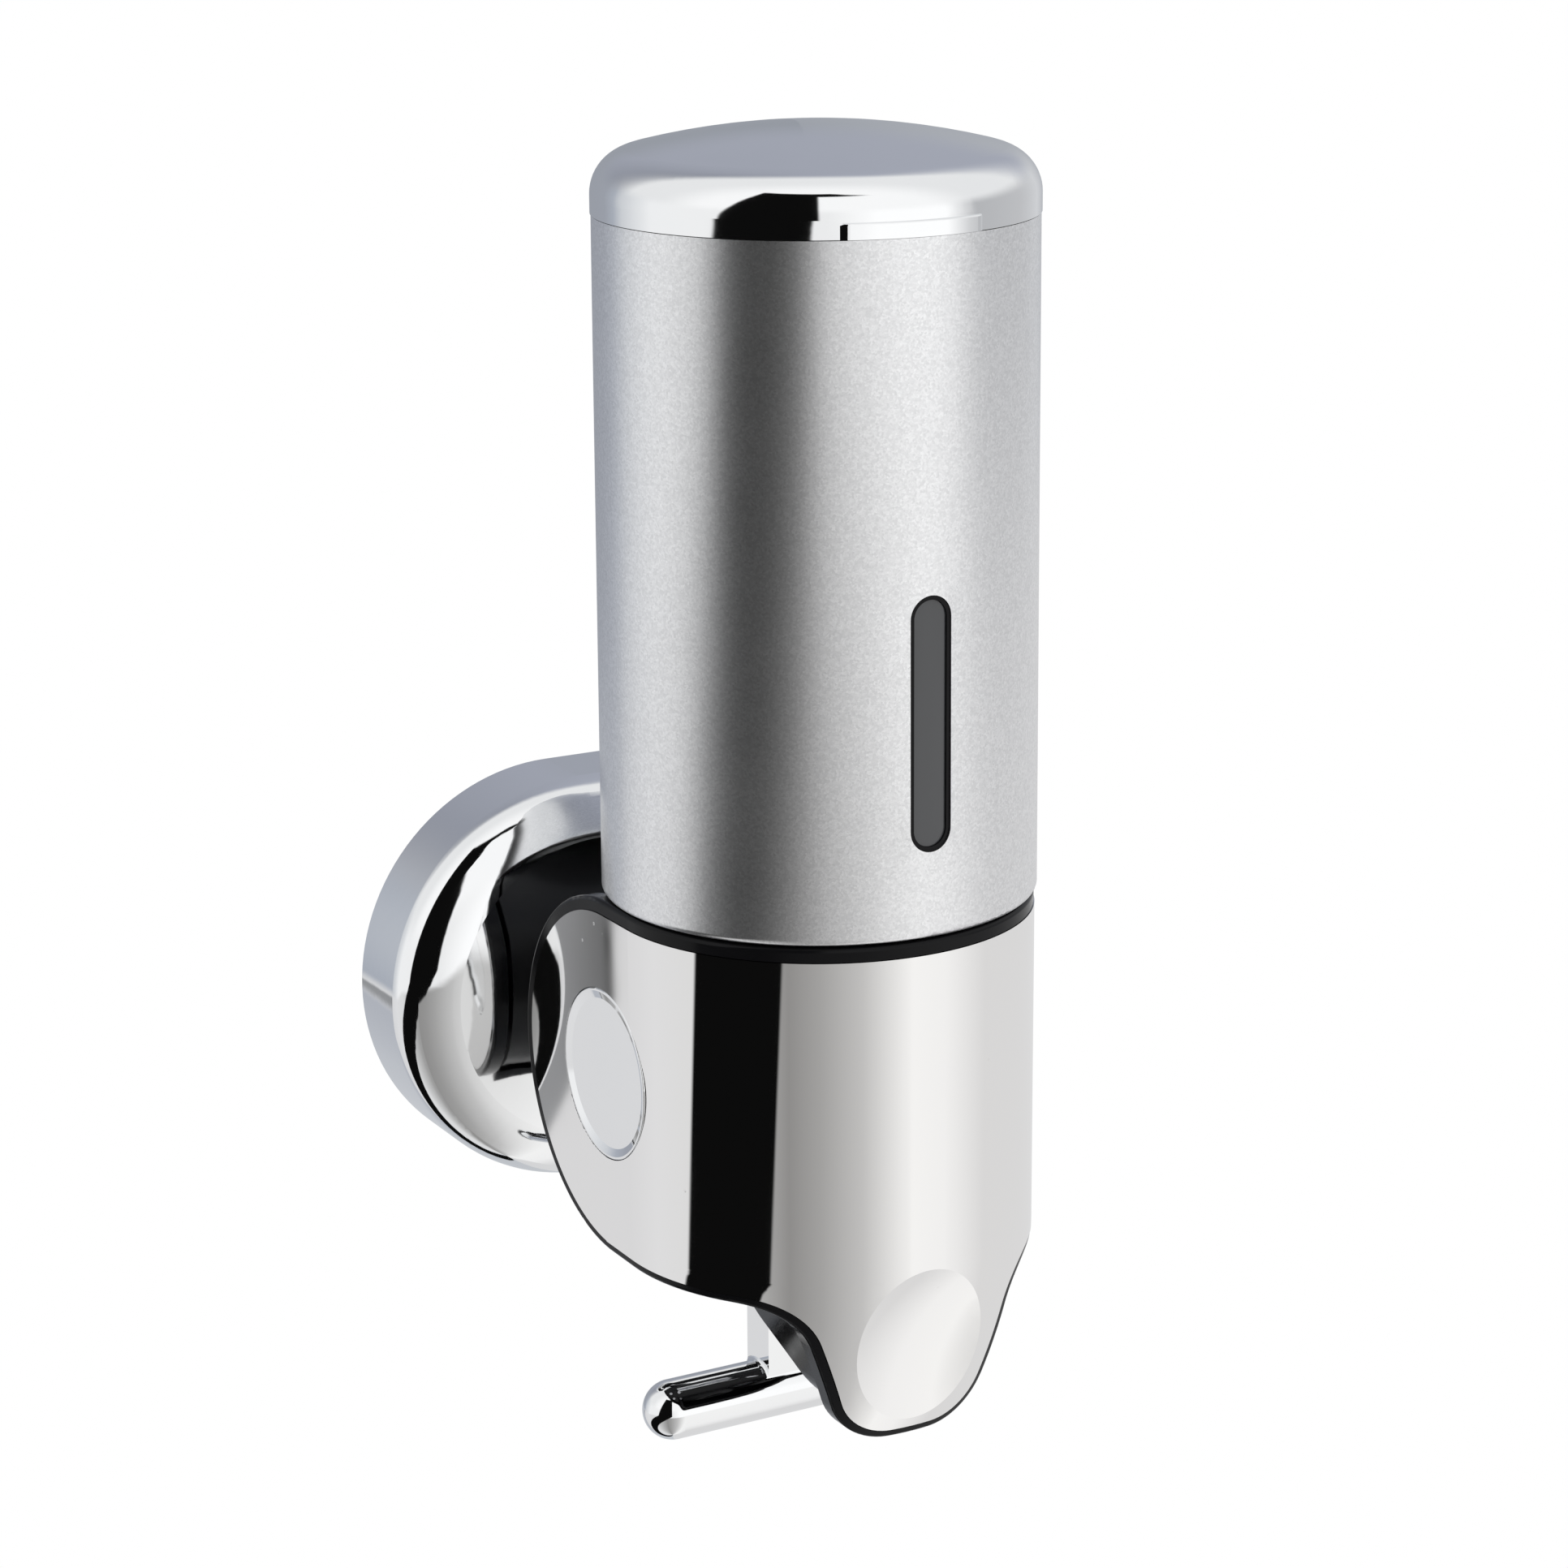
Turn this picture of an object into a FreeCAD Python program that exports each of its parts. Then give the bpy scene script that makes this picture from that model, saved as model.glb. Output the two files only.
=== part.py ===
import FreeCAD, Part
import math
import os

# Wall mounted soap dispenser, millimetres.
# Everything is drawn about the bottle: X to the right, Y towards the wall, Z up, with the
# origin on the bottle's axis at its lower edge. save() then moves each part so that the
# origin lies on the wall, in the middle of the wall rosette.

AXIS_TO_WALL = 73.4         # bottle axis to wall
ROSETTE_Z = -30.7           # middle of the rosette and of the arm, level with the pivots
FIT = 0.05                  # gap between parts that fit into each other
SNUG = 0.02                 # gap of a press or threaded fit

# bottle
BOTTLE_R = 36.5             # outside, at the lower edge
BOTTLE_TOP_R = 36.2
BOTTLE_H = 112.6            # lower edge to the lid's seam
SLEEVE_WALL = 2.2
LIP_H = 1.5                 # inner lip that the tank stands on
LIP_R = 31.5
FOOT_ROUND = 1.0
SLOT_Z = 35.4               # level window
SLOT_W = 7.45
SLOT_H = 41.9
BEZEL_W = 0.75
BEZEL_R = 36.15             # the bezel's face, from the axis
LENS_T = 1.1
LENS_BORDER = 2.0           # how far the lens reaches behind the sleeve
LENS_R = 35.8               # the lens's face, from the axis
TANK_R = 32.8
TANK_WALL = 1.4
TANK_FLOOR = 2.4
TANK_BOTTOM = 1.6
TANK_TOP = 104.0
TANK_EDGE_R = 1.5
TANK_CORNER_R = 3.0
NECK_Y = 4.0                # outlet neck under the tank
NECK_R = 8.0
NECK_BORE_R = 5.0
NECK_END = -35.0
NECK_CLEAR = 0.3
GASKET_R = 20.0
NUT_R = 9.5
NUT_H = 6.0
NUT_FLANGE_R = 11.5
NUT_FLANGE_T = 1.5
NUT_LUGS = 6
LUG_W = 3.0

# lid
LID_R = 36.35
LID_SHOULDER_Z = 115.7
LID_SHOULDER_R = 7.4
LID_TOP = 126.7
LID_WALL = 1.6
LID_BOTTOM = BOTTLE_H + 0.15
GRIP_W = 25.4               # tab at the lid's front lower edge, to push against with a finger
GRIP_H = 2.6
GRIP_PROUD = 0.5
GRIP_END_R = 2.5
GRIP_TOP_R = 0.4
LID_TURN = -4.0             # the lid sits turned by this, degrees
INSERT_T = 2.0
PLUG_R = 33.7               # skirt of the lid insert, in the bottle's mouth
PLUG_END = 105.0
PLUG_ROUND = 0.6
SEAL_RING_R = 33.1
SEAL_Z = 108.0
SEAL_R = 0.85
GROOVE_R = 0.9

# lever: half-round front with flat sides, turning about a cross axis
LEVER_R = 36.15             # steel cover, outside
COVER_T = 0.8
LINER_OUT = 35.3            # liner under the cover
LINER_RIM = 36.0            # liner's rim round the cover
LINER_IN = 33.0
EDGE_GAP = 0.1              # between cover and rim
PIVOT_Y = 9.8
PIVOT_Z = -30.7
COVER_BACK_R = 27.85        # round back of the ears, above the pivot
COVER_LOW_R = 30.2          # and below it
RIM_BACK_R = 30.3
RIM_LOW_R = 31.7
RIM = 1.5                   # width of the rim under the cover
RIM_ROUND = 0.7
BEND_Z = -58.0              # the nose leans back below here
BEND_R = 78.0
BEND_ANGLE = 27.0
BEND_BACK = 27.0            # how far back the leaning part reaches, past the rim's lower edge
NOSE_HALF = 20.2            # half width where the nose leaves the lower edge
NOSE_TIP = -87.1
NOSE_TAPER = 19.7           # side of the nose, degrees from vertical
NOSE_CORNER_R = 10.0
NOSE_ROOT_R = 12.0
BEAK_GROW = -0.9            # side walls behind the nose, measured from the cover's outline
BEAK_WALL = 1.6
BEAK_HALF = 16.5
BEAK_TOP = -62.0
BEAK_EDGE = ((2, -56, 0), (0, -66, 0), (-4.1, -73.3, 8), (-12.7, -79.6, 8), (-20.5, -86.5, 0))
NOSE_T = 2.2                # liner behind the thumb dish
DISH_Z = -71.5              # thumb dish
DISH_R = 47.7
DISH_DEPTH = 3.5
DISH_TILT = 10.0
CAP_R = 14.7                # discs over the pivots
CAP_FLAT_R = 12.9
CAP_EDGE = 0.5
CAP_DISH = 0.45
CAP_GAP = 0.1
PIN_R = 3.0
PIN_PLAY = 0.05
PIN_IN = 24.5
PIN_OUT = 35.2
PUSHER_HALF = 6.0           # pad on the lever that pushes the piston
PUSHER_H = 3.0
PUSHER_ROUND = 2.5
PUSHER_GAP = 1.0

# chassis between the ears
CHASSIS_R = 31.9
CHASSIS_BACK_R = 29.7
CHASSIS_LOW_R = 29.3
CHASSIS_WALL = 2.2
CHASSIS_STEP_Z = -27.0      # the front steps back below here, out of the lever's way
CHASSIS_STEP = 8.0
DECK_T = 5.0
BASE_T = 2.15
BOSS_R = 7.0
BOLT_PAD = 9.0
BOLT_PAD_FRONT = 28.0
PUMP_WINDOW = 10.0          # half width of the opening for the piston
MOUTH_BACK = 14.0           # the chassis is open underneath as far back as this
BASE_SCREW_X = 25.5
BASE_SCREW_Y = (-2.0, 12.0)
SCREW_BOSS_R = 3.2
SCREW_BOSS_H = 12.0
SCREW_R = 1.28
SCREW_HOLE_R = 1.3
SCREW_CLEAR_R = 1.6
HEAD_SCREW_R = 2.8
HEAD_SCREW_H = 1.6
CROSS_W = 0.7
CROSS_L = 3.0
BASE_PLATE_BACK = 20.8
SPOUT_HOLE_R = 4.3

# pump
PUMP_Z = -47.0
BORE_R = 8.0
PUMP_HALF = 12.0
PUMP_FRONT = -16.0
PUMP_BACK = 20.0
PUMP_TOP = -36.0
BORE_END = 16.0
CROWN_FRONT = -12.0
CROWN_BACK = -4.0
ROD_R = 4.0
HEAD_FRONT = -26.0
HEAD_T = 2.0
HEAD_R = 7.5
PISTON_PLAY = 0.06
RING_DEPTH = 1.8            # groove of the piston's ring
RING_H = 2.0
PORT_R = 3.0
SPOUT_R = 4.0
SPOUT_BORE_R = 2.0
SPOUT_END = -67.0
SOCKET_WALL = 2.5
SOCKET_H = 4.0
INLET_BALL_R = 2.4
OUTLET_BALL_R = 1.7
OUTLET_BALL_Z = -63.0
INLET_SEAL_BORE_R = 3.2
SPRING_R = 6.0
SPRING_WIRE_R = 0.5
SPRING_TURNS = 6
DUCT_Z = -57.8
DUCT_R = 1.6
DROP_Y = 8.0
NOZZLE_Y = -11.0
NOZZLE_R = 5.2
NOZZLE_SHOULDER = -69.0
NOZZLE_TIP_R = 3.6
NOZZLE_END = -74.0
NOZZLE_TOP = -62.6
PUMP_SCREW_X = 9.6
PUMP_SCREW_Y = (-8.0, 10.0)
BASE_SCREW_L = 9.0
PUMP_SCREW_L = 8.0
HOOK_SCREW_L = 7.0

# hook under the chassis
HOOK_Y = 16.6
HOOK_Z = -97.8
HOOK_R = 5.3
HOOK_LENGTH = 52.0
POST_X = 7.0
POST_Y = 7.8
FLANGE_X = 20.0
FLANGE_T = 2.5
HOOK_SCREW_X = 6.8
POST_ROUND = 0.8
FLANGE_ROUND = 2.0

# wall fixing: an oblong rosette with round ends
ROSETTE_HALF = 15.5         # middle to the centre of each round end
ROSETTE_WALL = 1.6
# Profile from edge to middle: how far each face leans out of the wall's plane, in degrees, and
# how far its plane lies from the middle of the rosette's back.
ROSETTE_FACES = ((90.0, 37.2), (36.5, 35.53), (9.5, 25.82), (0.0, 24.17))
ROSETTE_ROUNDS = (6.5, 15.8, 120.0)
HUB_R = 14.0
HUB_END = 26.0              # distance from the wall
HUB_ROUND = 1.2
HUB_BACK = 18.0
ARM_R = 12.5
BOLT_R = 4.0
BOLT_HOLE_R = 4.2
PLATE_R = 34.6
PLATE_T = 2.5
PLATE_RIM_H = 9.0
PLATE_RIM_T = 2.0
WALL_HOLE_R = 2.5
WALL_HOLE_SPACING = 60.0
GRUB_R = 2.0
GRUB_FROM_WALL = 5.5
KEY_R = 1.0
KEY_DEPTH = 1.4
ARM_FRONT = 20.0            # the arm starts here and is cut to the chassis' round back
HEX_ACROSS = 13.0           # bolt head and nut
HEX_HEAD_T = 5.3
HEX_NUT_T = 6.5
NUT_FRONT = 21.4
BOLT_END = 19.0

BASE_UNDER = PIVOT_Z - CHASSIS_LOW_R - FIT - BASE_T     # underside of the base plate
FAR = 60.0                  # past everything, for cutting shapes
UP = FreeCAD.Vector(0, 0, 1)
ACROSS = FreeCAD.Vector(1, 0, 0)
BACK = FreeCAD.Vector(0, 1, 0)
OUT = FreeCAD.Vector(0, -1, 0)


def vec(x, y, z):
    return FreeCAD.Vector(x, y, z)


def box(x0, x1, y0, y1, z0, z1):
    return Part.makeBox(x1 - x0, y1 - y0, z1 - z0, vec(x0, y0, z0))


def rod(radius, start, direction, length):
    return Part.makeCylinder(radius, length, start, direction)


def tube(outer, inner, start, direction, length):
    return rod(outer, start, direction, length).cut(rod(inner, start, direction, length))


def fused(shapes):
    whole = shapes[0]
    for shape in shapes[1:]:
        whole = whole.fuse(shape)
    return whole.removeSplitter()


def outline(corners, place):
    """Closed wire through (a, b, radius) corners, each rounded by its radius; place maps (a, b) to space."""
    count = len(corners)
    cuts = []
    for i, (a, b, radius) in enumerate(corners):
        before = corners[i - 1]
        after = corners[(i + 1) % count]
        u = FreeCAD.Vector(before[0] - a, before[1] - b, 0).normalize()
        w = FreeCAD.Vector(after[0] - a, after[1] - b, 0).normalize()
        corner = FreeCAD.Vector(a, b, 0)
        if radius == 0:
            cuts.append((corner, None, corner))
            continue
        half = u.getAngle(w) / 2
        reach = radius / math.tan(half)
        middle = (u + w).normalize() * (radius / math.sin(half) - radius)
        cuts.append((corner + u * reach, corner + middle, corner + w * reach))
    edges = []
    for i, (start, middle, end) in enumerate(cuts):
        if middle is not None:
            arc = Part.Arc(place(start.x, start.y), place(middle.x, middle.y), place(end.x, end.y))
            edges.append(arc.toShape())
        following = cuts[(i + 1) % count][0]
        if (following - end).Length > 1e-6:
            edges.append(Part.makeLine(place(end.x, end.y), place(following.x, following.y)))
    return Part.Wire(Part.__sortEdges__(edges))


def turned(corners, centre=vec(0, 0, 0), axis=UP):
    """Solid of revolution of (radius, height, corner radius) points about axis through centre."""
    side = ACROSS
    wire = outline(corners, lambda r, h: centre + side * r + axis * h)
    return Part.Face(wire).revolve(centre, axis, 360)


def side_prism(corners, half_width):
    """Side view outline (y, z, radius), extruded across the dispenser."""
    wire = outline(corners, lambda y, z: vec(-half_width, y, z))
    return Part.Face(wire).extrude(ACROSS * (2 * half_width))


def front_prism(corners, y0, y1):
    """Front view outline (x, z, radius), extruded towards the wall."""
    wire = outline(corners, lambda x, z: vec(x, y0, z))
    return Part.Face(wire).extrude(BACK * (y1 - y0))


def u_face(radius, back, z, centre_y=0.0):
    front = Part.Arc(vec(radius, centre_y, z), vec(0, centre_y - radius, z), vec(-radius, centre_y, z))
    sides = [
        Part.makeLine(vec(-radius, centre_y, z), vec(-radius, back, z)),
        Part.makeLine(vec(-radius, back, z), vec(radius, back, z)),
        Part.makeLine(vec(radius, back, z), vec(radius, centre_y, z)),
    ]
    return Part.Face(Part.Wire([front.toShape()] + sides))


def u_prism(radius, back, z0, z1, centre_y=0.0):
    """Half-round front with straight sides running back."""
    return u_face(radius, back, z0, centre_y).extrude(UP * (z1 - z0))


def lever_body(radius, back, top):
    """The lever's filled outer form: upright above BEND_Z, leaning back towards the tip below it."""
    upright = u_prism(radius, back, BEND_Z, top)
    bend_y = BEND_R - LEVER_R
    leaning = u_face(radius, BEND_BACK, BEND_Z).revolve(vec(0, bend_y, BEND_Z), ACROSS, BEND_ANGLE)
    return upright.fuse(leaning)


def ears(back_r, low_r):
    """Side view of the lever's ears, as a prism: round behind the pivot, flat above and below."""
    top = PIVOT_Z + back_r
    low_y = PIVOT_Y + back_r - low_r
    diagonal = math.sqrt(0.5)
    y_end = PIVOT_Y + back_r
    edges = [
        Part.makeLine(vec(-FAR, -FAR, top), vec(-FAR, PIVOT_Y, top)),
        Part.Arc(
            vec(-FAR, PIVOT_Y, top),
            vec(-FAR, PIVOT_Y + back_r * diagonal, PIVOT_Z + back_r * diagonal),
            vec(-FAR, y_end, PIVOT_Z),
        ).toShape(),
        Part.Arc(
            vec(-FAR, y_end, PIVOT_Z),
            vec(-FAR, low_y + low_r * diagonal, PIVOT_Z - low_r * diagonal),
            vec(-FAR, low_y, PIVOT_Z - low_r),
        ).toShape(),
        Part.makeLine(vec(-FAR, low_y, PIVOT_Z - low_r), vec(-FAR, -FAR, PIVOT_Z - low_r)),
        Part.makeLine(vec(-FAR, -FAR, PIVOT_Z - low_r), vec(-FAR, -FAR, top)),
    ]
    return Part.Face(Part.Wire(edges)).extrude(ACROSS * (2 * FAR))


def nose(grow, y0=-FAR, y1=10.0):
    """Front view of the nose, as a prism, widened all round by grow."""
    slope = math.radians(NOSE_TAPER)
    edge = PIVOT_Z - COVER_LOW_R - grow
    half_root = NOSE_HALF + grow * math.cos(slope) - (grow - grow * math.sin(slope)) * math.tan(slope)
    tip = NOSE_TIP - grow
    half_tip = half_root - (edge - tip) * math.tan(slope)
    right = [
        (FAR, edge + 5, 0),
        (FAR, edge, 0),
        (half_root, edge, NOSE_ROOT_R - grow),
        (half_tip, tip, NOSE_CORNER_R + grow),
    ]
    left = [(-x, z, radius) for x, z, radius in reversed(right)]
    return front_prism(right + left, y0, y1)


def dish(extra):
    """Ball that scoops the thumb dish, larger by extra."""
    tilt = math.radians(DISH_TILT)
    lean = (BEND_Z - DISH_Z) ** 2 / (2 * BEND_R)
    reach = DISH_R - DISH_DEPTH
    centre = vec(0, -LEVER_R + lean - reach * math.cos(tilt), DISH_Z - reach * math.sin(tilt))
    return Part.makeSphere(DISH_R + extra, centre)


def save(name, shape):
    shape = shape.copy()
    shape.translate(vec(0, -AXIS_TO_WALL, -ROSETTE_Z))
    shape.exportStep(f"parts/{name}.step")


# --- bottle ---------------------------------------------------------------------------------

def sleeve_solid(shrink, z0, z1):
    """Tapered round solid, shrink inside the sleeve's outer face."""
    slope = (BOTTLE_R - BOTTLE_TOP_R) / BOTTLE_H
    low = BOTTLE_R - shrink - slope * z0
    high = BOTTLE_R - shrink - slope * z1
    return Part.makeCone(low, high, z1 - z0, vec(0, 0, z0))


def slot(grow):
    """Prism of the level window, rounded at both ends, grown by grow."""
    half_w = SLOT_W / 2 + grow
    half_h = SLOT_H / 2 + grow
    corners = [
        (half_w, SLOT_Z - half_h, half_w * 0.999),
        (half_w, SLOT_Z + half_h, half_w * 0.999),
        (-half_w, SLOT_Z + half_h, half_w * 0.999),
        (-half_w, SLOT_Z - half_h, half_w * 0.999),
    ]
    return front_prism(corners, -FAR, -20.0)


def bottle_sleeve():
    foot = turned([
        (LIP_R, 0, 0),
        (BOTTLE_R, 0, FOOT_ROUND),
        (BOTTLE_R, LIP_H, 0),
        (LIP_R, LIP_H, 0),
    ])
    wall = sleeve_solid(0, LIP_H, BOTTLE_H).cut(sleeve_solid(SLEEVE_WALL, LIP_H - 1, BOTTLE_H + 1))
    return foot.fuse(wall).cut(slot(0)).removeSplitter()


def window_bezel():
    frame = slot(-FIT).cut(slot(-BEZEL_W))
    shell = rod(BEZEL_R, vec(0, 0, 0), UP, BOTTLE_H).cut(sleeve_solid(SLEEVE_WALL, 0, BOTTLE_H))
    return frame.common(shell)


def window_lens():
    """Lens pushed into the slot from inside, with a border behind the sleeve."""
    inside = SLEEVE_WALL + FIT
    bore = sleeve_solid(inside + LENS_T, 0, BOTTLE_H)
    border = slot(LENS_BORDER).common(sleeve_solid(inside, 1, BOTTLE_H))
    plug = slot(-BEZEL_W - FIT).common(rod(LENS_R, vec(0, 0, 0), UP, BOTTLE_H))
    return border.fuse(plug).cut(bore).removeSplitter()


def tank():
    inner_r = TANK_R - TANK_WALL
    shell = turned([
        (0, TANK_BOTTOM, 0),
        (TANK_R, TANK_BOTTOM, TANK_EDGE_R),
        (TANK_R, TANK_TOP, 0),
        (inner_r, TANK_TOP, 0),
        (inner_r, TANK_BOTTOM + TANK_FLOOR, TANK_CORNER_R),
        (0, TANK_BOTTOM + TANK_FLOOR, 0),
    ])
    neck = rod(NECK_R, vec(0, NECK_Y, NECK_END), UP, TANK_BOTTOM + 1 - NECK_END)
    bore = rod(NECK_BORE_R, vec(0, NECK_Y, NECK_END - 1), UP, TANK_BOTTOM + TANK_FLOOR + 2 - NECK_END)
    return shell.fuse(neck).cut(bore).removeSplitter()


def tank_gasket():
    deck_top = PIVOT_Z + CHASSIS_BACK_R
    start = vec(0, NECK_Y, deck_top)
    return tube(GASKET_R, NECK_R + NECK_CLEAR, start, UP, TANK_BOTTOM - deck_top)


def lock_nut():
    deck_under = PIVOT_Z + CHASSIS_BACK_R - DECK_T
    start = vec(0, NECK_Y, deck_under - NUT_H)
    lug_h = NUT_H - NUT_FLANGE_T
    ring = rod(NUT_R, start, UP, lug_h)
    ring = ring.fuse(rod(NUT_FLANGE_R, start + UP * lug_h, UP, NUT_FLANGE_T))
    for i in range(NUT_LUGS):
        lug = box(-LUG_W / 2, LUG_W / 2, NUT_R - 0.5, NUT_FLANGE_R, 0, lug_h)
        lug.rotate(vec(0, 0, 0), UP, 360 * i / NUT_LUGS)
        lug.translate(start)
        ring = ring.fuse(lug)
    return ring.cut(rod(NECK_R + SNUG, start - UP, UP, NUT_H + 2)).removeSplitter()


# --- lid ------------------------------------------------------------------------------------

def lid_form(shrink, bottom):
    """Solid under the lid's skin: short side, round shoulder, shallow dome, moved in by shrink."""
    shoulder_x = LID_R - LID_SHOULDER_R
    rise = LID_SHOULDER_Z - LID_TOP
    dome_r = (LID_SHOULDER_R**2 - shoulder_x**2 - rise**2) / (2 * (rise + LID_SHOULDER_R))
    dome_z = LID_TOP - dome_r
    meet = math.atan2(LID_SHOULDER_Z - dome_z, shoulder_x)

    def on_shoulder(angle):
        reach = LID_SHOULDER_R - shrink
        return vec(shoulder_x + reach * math.cos(angle), 0, LID_SHOULDER_Z + reach * math.sin(angle))

    def on_dome(angle):
        reach = dome_r - shrink
        return vec(reach * math.cos(angle), 0, dome_z + reach * math.sin(angle))

    top = vec(0, 0, LID_TOP - shrink)
    edges = [
        Part.makeLine(vec(0, 0, bottom), vec(LID_R - shrink, 0, bottom)),
        Part.makeLine(vec(LID_R - shrink, 0, bottom), on_shoulder(0)),
        Part.Arc(on_shoulder(0), on_shoulder(meet / 2), on_shoulder(meet)).toShape(),
        Part.Arc(on_shoulder(meet), on_dome((meet + math.pi / 2) / 2), top).toShape(),
        Part.makeLine(top, vec(0, 0, bottom)),
    ]
    return Part.Face(Part.Wire(edges)).revolve(vec(0, 0, 0), UP, 360)


def lid_grip():
    """Tab standing slightly proud of the lid's side, its ends and top rounded off."""
    outer = LID_R + GRIP_PROUD
    ring = tube(outer, outer - 2 * GRIP_END_R, vec(0, 0, LID_BOTTOM), UP, GRIP_H)
    grip = ring.common(box(-GRIP_W / 2, GRIP_W / 2, -FAR, 0, LID_BOTTOM - 1, LID_BOTTOM + GRIP_H + 1))
    upright = [edge for edge in grip.Edges if edge.BoundBox.ZLength > 1]
    upright.sort(key=lambda edge: edge.CenterOfMass.y)
    grip = grip.makeFillet(GRIP_END_R, upright[:2])
    corner_y = -math.sqrt(outer**2 - GRIP_W**2 / 4)
    top = [
        edge
        for edge in grip.Edges
        if edge.BoundBox.ZMin > LID_BOTTOM + GRIP_H - 0.01 and edge.CenterOfMass.y < corner_y
    ]
    grip = grip.makeFillet(GRIP_TOP_R, top)
    return grip.cut(rod(LID_R - LID_WALL / 2, vec(0, 0, LID_BOTTOM - 1), UP, GRIP_H + 2))


def lid_cap():
    shell = lid_form(0, LID_BOTTOM).cut(lid_form(LID_WALL, LID_BOTTOM - 1))
    return shell.fuse(lid_grip()).removeSplitter().rotate(vec(0, 0, 0), UP, LID_TURN)


def lid_insert():
    ring_r = LID_R - LID_WALL - FIT
    solid = turned([
        (0, LID_BOTTOM, 0),
        (PLUG_R - INSERT_T, LID_BOTTOM, 0),
        (PLUG_R - INSERT_T, PLUG_END, 0),
        (PLUG_R, PLUG_END, PLUG_ROUND),
        (PLUG_R, LID_BOTTOM, 0),
        (ring_r, LID_BOTTOM, 0),
        (ring_r, LID_BOTTOM + INSERT_T, 0),
        (0, LID_BOTTOM + INSERT_T, 0),
    ])
    return solid.cut(Part.makeTorus(SEAL_RING_R, GROOVE_R, vec(0, 0, SEAL_Z)))


def lid_seal():
    return Part.makeTorus(SEAL_RING_R, SEAL_R, vec(0, 0, SEAL_Z))


# --- lever ----------------------------------------------------------------------------------

def cover_trim(grow):
    """Volume inside the steel cover's edges, widened by grow."""
    return ears(COVER_BACK_R + grow, COVER_LOW_R + grow).fuse(nose(grow))


def steel_cover():
    back = FAR
    outer = lever_body(LEVER_R, back, 5).cut(dish(0))
    inner = lever_body(LEVER_R - COVER_T, back + 1, 6).cut(dish(COVER_T))
    shell = outer.cut(inner).common(cover_trim(0))
    for side in (-1, 1):
        start = vec(side * LINER_IN, PIVOT_Y, PIVOT_Z)
        shell = shell.cut(rod(CAP_R + CAP_GAP, start, ACROSS * side, 10))
    return shell


def beak():
    """Side walls and floor behind the nose, open at the back."""
    walls = nose(BEAK_GROW, -FAR, 20).cut(nose(BEAK_GROW - BEAK_WALL, -FAR - 1, 21))
    walls = walls.common(lever_body(LINER_OUT - 1, FAR, 5))
    top = BEAK_EDGE[0][1]
    tip_y = BEAK_EDGE[-1][0]
    profile = [(-FAR, top, 0), *BEAK_EDGE, (tip_y, -FAR * 2, 0), (-FAR, -FAR * 2, 0)]
    walls = walls.common(side_prism(profile, NOSE_HALF + 4))
    return walls.common(box(-BEAK_HALF, BEAK_HALF, -FAR, FAR, -FAR * 2, BEAK_TOP))


def on_both(edge, first, second):
    """True if the middle of the edge lies on the surfaces of both solids."""
    middle = Part.Vertex(edge.valueAt((edge.FirstParameter + edge.LastParameter) / 2))
    return all(min(face.distToShape(middle)[0] for face in solid.Faces) < 0.01 for solid in (first, second))


def lever_liner():
    outer = lever_body(LINER_RIM, FAR, 5)
    rim_trim = ears(RIM_BACK_R, RIM_LOW_R).fuse(nose(RIM))
    full = outer.common(rim_trim).removeSplitter()
    full = full.makeFillet(RIM_ROUND, [edge for edge in full.Edges if on_both(edge, outer, rim_trim)])
    full = full.cut(lever_body(LINER_IN, FAR + 1, 6).cut(dish(COVER_T + NOSE_T)))
    recess = lever_body(LEVER_R + 5, FAR + 1, 6)
    recess = recess.cut(lever_body(LINER_OUT, FAR + 2, 7).cut(dish(COVER_T + FIT)))
    liner = full.cut(recess.common(cover_trim(EDGE_GAP)))
    liner = liner.fuse(beak())
    for side in (-1, 1):
        liner = liner.cut(rod(PIN_R + SNUG, vec(side * 20, PIVOT_Y, PIVOT_Z), ACROSS * side, 20))
    return liner.removeSplitter()


def pivot_cap(side):
    face = LEVER_R
    back = LINER_OUT + FIT
    profile = [
        (0, back, 0),
        (CAP_R, back, 0),
        (CAP_R, face, 0.2),
        (CAP_R - CAP_EDGE, face, 0),
        (CAP_FLAT_R, face - CAP_DISH, 0),
        (0, face - CAP_DISH, 0),
    ]
    wire = outline(profile, lambda r, x: vec(side * x, PIVOT_Y + r, PIVOT_Z))
    return Part.Face(wire).revolve(vec(0, PIVOT_Y, PIVOT_Z), ACROSS, 360)


def pivot_pin(side):
    start = vec(side * PIN_IN, PIVOT_Y, PIVOT_Z)
    return rod(PIN_R, start, ACROSS * side, PIN_OUT - PIN_IN)


def lever_pusher():
    tip = HEAD_FRONT - PUSHER_GAP
    profile = [
        (-FAR, PUMP_Z - PUSHER_H, 0),
        (-FAR, PUMP_Z + PUSHER_H, 0),
        (tip, PUMP_Z + PUSHER_H, PUSHER_ROUND),
        (tip, PUMP_Z - PUSHER_H, PUSHER_ROUND),
    ]
    pad = side_prism(profile, PUSHER_HALF)
    return pad.common(rod(LINER_IN - SNUG, vec(0, 0, -FAR), UP, FAR))


# --- chassis --------------------------------------------------------------------------------

def chassis_form(shrink, top, bottom):
    """Filled chassis form between the ears, moved in by shrink."""
    radius = CHASSIS_R - shrink
    upper = u_prism(radius, FAR, CHASSIS_STEP_Z + shrink, 5)
    lower = u_prism(radius, FAR, -FAR * 2, CHASSIS_STEP_Z + shrink, CHASSIS_STEP)
    side = ears(CHASSIS_BACK_R - shrink, CHASSIS_LOW_R - shrink)
    return upper.fuse(lower).common(side).common(box(-FAR, FAR, -FAR, FAR, bottom, top))


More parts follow.
